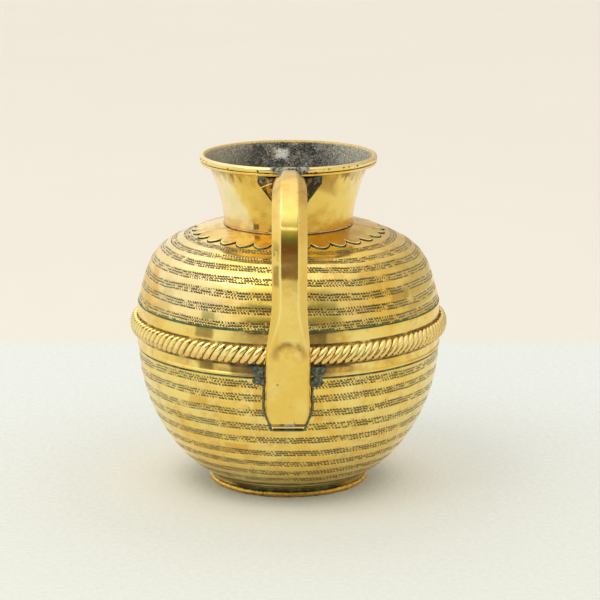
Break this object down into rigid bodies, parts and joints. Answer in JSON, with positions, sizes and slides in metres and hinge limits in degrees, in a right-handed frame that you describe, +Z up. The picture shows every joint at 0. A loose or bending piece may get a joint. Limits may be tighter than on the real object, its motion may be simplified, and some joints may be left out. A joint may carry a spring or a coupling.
{
  "type": "milk pot",
  "caption": "Round-bellied brass milk pot with a flared neck, rope belt and strap handle, for carrying and pouring milk.",
  "frame": {"origin": "on the table, under the middle of the whole object's box", "axes": "+Z up along the pot's axis, the handle stands out towards -Y, X runs across the handle"},
  "size_m": [0.2298, 0.2415, 0.2409],
  "materials": {
    "brass": "worn polish with dark tarnish in the chisel marks",
    "polished_brass": "polished, lightly hammered",
    "solder": "dull grey tin solder"
  },
  "bodies": {
    "root": {"lower_bowl": "brass", "upper_shell": "brass", "rim_wire": "brass", "scalloped_collar": "brass", "foot_band": "brass", "handle_back_plate": "brass", "handle_gusset": "brass", "belt_band": "polished_brass", "rope_moulding": "polished_brass", "neck": "polished_brass", "rim_strip": "polished_brass", "foot_roll": "polished_brass", "handle_cover": "polished_brass", "belt_seam_solder": "solder", "neck_seam_solder": "solder", "foot_solder": "solder", "rim_solder_left": "solder", "rim_solder_right": "solder", "rim_solder_top": "solder", "belt_solder_left": "solder", "belt_solder_right": "solder", "bowl_solder_left": "solder", "bowl_solder_right": "solder", "handle_edge_solder": "solder"}
  },
  "joints": []
}
